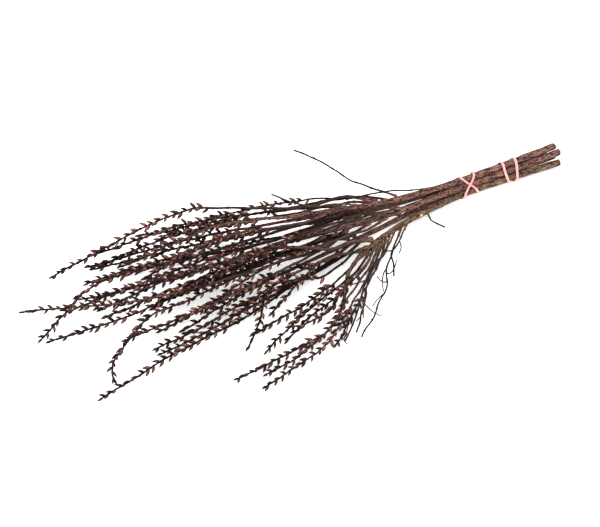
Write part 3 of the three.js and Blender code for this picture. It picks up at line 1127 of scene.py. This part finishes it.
    def _bud(
        self,
        skin: Skin,
        line: Centreline,
        way: float,
        roll: float,
        lean: float,
        length: float,
        width: float,
        tint: float,
    ) -> None:
        """Adds one bud.

        Args:
            skin: The shoot's skin.
            line: The shoot's line.
            way: How far along the line it stands.
            roll: Its direction round the twig, from straight up.
            lean: How far it leans out from the twig.
            length: Its length.
            width: Its width.
            tint: How light and orange its scale is, from 0 to 1.
        """
        walked = line.walked()
        at = int(np.clip(np.searchsorted(walked, way), 1, len(walked) - 2))
        place, radius = (found[0] for found in line.at(np.array([way])))
        forward = unit(line.points[at + 1] - line.points[at - 1])
        level = unit(np.cross(forward, UP))
        upward = np.cross(level, forward)
        out = math.cos(roll) * upward + math.sin(roll) * level
        axis = math.cos(lean) * forward + math.sin(lean) * out
        sunk = place[2] + length * axis[2] - 0.3 * width - self.floor_gap
        if sunk < 0:
            axis = unit(axis - np.array([0, 0, min(sunk / length, 0)]))
        off = unit(out - axis * (out @ axis))
        across = np.cross(axis, off)
        shares = self.shape.corners()
        foot = place + self.bud_seat * radius * out * (lean > self.tip_lean)
        bow = self.shape.bend * length * shares[:, :1] * (1 - shares[:, :1])
        spread = width * (shares[:, 1:2] * across + shares[:, 2:3] * off)
        corners = foot + length * shares[:, :1] * axis + spread + bow * off
        grain = np.column_stack([way + length * shares[:, 0], width * shares[:, 1], width * shares[:, 2]])
        grain = grain + np.array([0.0, 0.05 * tint, 0.03 * tint])
        # How far each bud corner faces the painted light direction, which places the painted highlight.
        painted_lit_side = np.clip(unit(spread) @ PAINTED_LIGHT_DIRECTION, 0, 1)
        marks = {Mark.BUD: 1.0, Mark.ALONG: shares[:, 0], Mark.TINT: tint, Mark.PAINTED_LIT_SIDE: painted_lit_side}
        skin.add(corners, grain, self.shape.faces(), marks)


@dataclass
class RubberBand:
    """A rubber band wound twice round the stems, as a strip with rounded edges."""

    name: str
    finish: bpy.types.Material
    rounding: float = 0.4 * MM
    edge_angle: float = math.radians(45)
    flat_angle: float = 0.6
    square_angle: float = 3.1

    def build(self, node: bpy.types.Object) -> bpy.types.Object:
        """Makes the band from a smoothed copy of its solid.

        Args:
            node: The band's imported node.

        Returns:
            The band's piece.
        """
        mesh = bpy.data.meshes.new(f"{self.name}_loop")
        shape = bmesh.new()
        shape.from_mesh(node.data)
        bmesh.ops.remove_doubles(shape, verts=shape.verts, dist=WELD)
        bmesh.ops.join_triangles(
            shape,
            faces=shape.faces,
            angle_face_threshold=self.flat_angle,
            angle_shape_threshold=self.square_angle,
        )
        for face in shape.faces:
            face.smooth = True
        shape.to_mesh(mesh)
        shape.free()
        mesh.materials.clear()
        mesh.materials.append(self.finish)
        made = bpy.data.objects.new(f"{self.name}_loop", mesh)
        bpy.context.scene.collection.objects.link(made)
        bevel = made.modifiers.new("rounded edges", "BEVEL")
        bevel.width = self.rounding
        bevel.segments = 2
        bevel.limit_method = "ANGLE"
        bevel.angle_limit = self.edge_angle
        smooth = made.modifiers.new("smooth", "SUBSURF")
        smooth.levels = 2
        smooth.render_levels = 2
        return made


@dataclass(frozen=True)
class Lamp:
    """A square studio lamp: where it hangs, its width and its power in watts."""

    name: str
    place: tuple[float, float, float]
    size: float
    power: float


@dataclass
class Studio:
    """A pale floor, soft lamps and a camera at the photograph's angle."""

    floor_finish: bpy.types.Material
    floor_half: float = 4.0
    floor_drop: float = 0.3 * MM
    aim: tuple[float, float, float] = (-0.0356, -0.0018, 0.0299)
    azimuth: float = math.radians(-26)
    elevation: float = math.radians(48)
    distance: float = 2.1
    lens: float = 93.06
    sensor: float = 36.0
    sky: float = 0.85
    gamma: float = 0.86
    lamps: tuple[Lamp, ...] = (
        Lamp("over", (-0.5, -0.4, 1.9), 1.8, 38.0),
        Lamp("fill", (1.2, -1.4, 1.1), 1.2, 9.0),
        Lamp("back", (0.2, 1.7, 1.3), 1.2, 12.0),
    )

    def build(self) -> None:
        """Makes the floor, the lamps and the camera."""
        self._floor()
        self._lamps()
        self._camera()

    def _floor(self) -> None:
        """Lays the floor just under the bundle."""
        shape = bmesh.new()
        bmesh.ops.create_grid(shape, x_segments=4, y_segments=4, size=self.floor_half)
        bmesh.ops.translate(shape, verts=shape.verts, vec=(0, 0, -self.floor_drop))
        mesh = bpy.data.meshes.new("studio_floor")
        shape.to_mesh(mesh)
        shape.free()
        mesh.materials.append(self.floor_finish)
        floor = bpy.data.objects.new("studio_floor", mesh)
        bpy.context.scene.collection.objects.link(floor)

    def _lamps(self) -> None:
        """Hangs the lamps and a pale sky, and sets how the picture is developed."""
        for lamp in self.lamps:
            self._hang(lamp)
        world = bpy.data.worlds.new("studio")
        world.use_nodes = True
        backdrop = world.node_tree.nodes["Background"]
        backdrop.inputs["Color"].default_value = (1.0, 1.0, 1.0, 1.0)
        backdrop.inputs["Strength"].default_value = self.sky
        bpy.context.scene.world = world
        bpy.context.scene.view_settings.view_transform = "Standard"
        bpy.context.scene.view_settings.gamma = self.gamma

    def _hang(self, lamp: Lamp) -> None:
        """Hangs one lamp so that it faces the bundle."""
        light = bpy.data.lights.new(f"studio_{lamp.name}", "AREA")
        light.shape = "SQUARE"
        light.size = lamp.size
        light.energy = lamp.power
        hung = bpy.data.objects.new(f"studio_{lamp.name}", light)
        hung.location = lamp.place
        towards = Vector(self.aim) - Vector(lamp.place)
        hung.rotation_euler = towards.to_track_quat("-Z", "Y").to_euler()
        bpy.context.scene.collection.objects.link(hung)

    def _camera(self) -> None:
        """Sets the camera up."""
        level = math.cos(self.elevation)
        back = Vector(
            (math.sin(self.azimuth) * level, -math.cos(self.azimuth) * level, math.sin(self.elevation))
        )
        data = bpy.data.cameras.new("studio_camera")
        data.sensor_fit = "HORIZONTAL"
        data.sensor_width = self.sensor
        data.lens = self.lens
        camera = bpy.data.objects.new("studio_camera", data)
        camera.location = Vector(self.aim) + self.distance * back
        camera.rotation_euler = (-back).to_track_quat("-Z", "Y").to_euler()
        bpy.context.scene.collection.objects.link(camera)
        bpy.context.scene.camera = camera


PINK_BROWN_BARK = StemBark(
    name="pink_brown_bark",
    light=srgb(152, 116, 106),
    dark=srgb(46, 32, 30),
    crack=srgb(18, 12, 12),
    pore=srgb(172, 138, 122),
    scar=srgb(232, 186, 138),
)
OLIVE_TAN_BARK = StemBark(
    name="olive_tan_bark",
    light=srgb(142, 116, 97),
    dark=srgb(46, 35, 30),
    crack=srgb(20, 15, 13),
    pore=srgb(176, 152, 118),
    scar=srgb(224, 186, 148),
)
SAWN_WOOD = CutWood(
    name="sawn_wood",
    early=srgb(222, 190, 146),
    late=srgb(178, 138, 96),
    pith=srgb(120, 84, 56),
    edge=srgb(84, 60, 46),
)
TWIG_AND_BUDS = TwigBark(
    name="twig_and_buds",
    bark_dark=srgb(24, 18, 17),
    bark_light=srgb(98, 78, 72),
    foot_dark=PINK_BROWN_BARK.dark,
    foot_light=PINK_BROWN_BARK.light,
    bud_dark=srgb(20, 11, 10),
    bud_red=srgb(62, 36, 32),
    # bud_orange is the lighter orange of the bark specks and of the buds' painted highlight.
    bud_orange=srgb(180, 127, 112),
    bud_foot=srgb(12, 8, 8),
)
OLIVE_TWIG_AND_BUDS = replace(
    TWIG_AND_BUDS,
    name="olive_twig_and_buds",
    foot_dark=OLIVE_TAN_BARK.dark,
    foot_light=OLIVE_TAN_BARK.light,
)
PINK_RUBBER = Rubber(
    name="pink_rubber",
    body=srgb(246, 176, 176),
    chalk=srgb(252, 214, 212),
    deep=srgb(234, 150, 152),
)
WHITE_PAPER = Paper(name="white_paper", light=srgb(250, 250, 250), shade=srgb(245, 245, 245))

FRONT_KNOTS = (
    Knot(0.54, 2.2, 3.6 * MM, 3.0 * MM, 1.2 * MM),
    Knot(0.655, 2.75, 3.4 * MM, 2.6 * MM, 0.9 * MM, KnotKind.SCAR),
)
FRONT_SPARE_KNOTS = 11


def settle(piece: bpy.types.Object, node: str) -> None:
    """Ties a piece to the frame and reports it.

    Args:
        piece: The finished piece.
        node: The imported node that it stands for.
    """
    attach(piece, BODY)
    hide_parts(node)
    LOG.info("%s stands for %s with %d faces", piece.name, node, len(piece.data.polygons))


def main() -> None:
    """Builds the bundle piece by piece, then the studio round it."""
    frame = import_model()
    pink_brown, olive_tan = PINK_BROWN_BARK.material(), OLIVE_TAN_BARK.material()
    sawn, rubber = SAWN_WOOD.material(), PINK_RUBBER.material()
    budded, olive_budded = TWIG_AND_BUDS.material(), OLIVE_TWIG_AND_BUDS.material()
    nodes = sorted(frame["nodes"].items())
    lines = {name: Solid(node).stem() for name, node in nodes if name.startswith("stem_")}
    stems = tuple(lines.values())
    for name, node in nodes:
        if name == "stem_front":
            stem = Stem(name, olive_tan, sawn, FRONT_KNOTS, spare_knots=FRONT_SPARE_KNOTS)
            settle(stem.build(lines[name]), name)
        elif name.startswith("stem_"):
            settle(Stem(name, pink_brown, sawn).build(lines[name]), name)
        elif name.startswith("shoot_front_"):
            settle(Shoot(name, olive_budded, stems, curly=True).build(node), name)
        elif name.startswith("shoot_"):
            settle(Shoot(name, budded, stems).build(node), name)
        else:
            settle(RubberBand(name, rubber).build(node), name)
    Studio(WHITE_PAPER.material()).build()


if __name__ == "__main__":
    logging.basicConfig(level=logging.INFO, format="%(message)s")
    main()
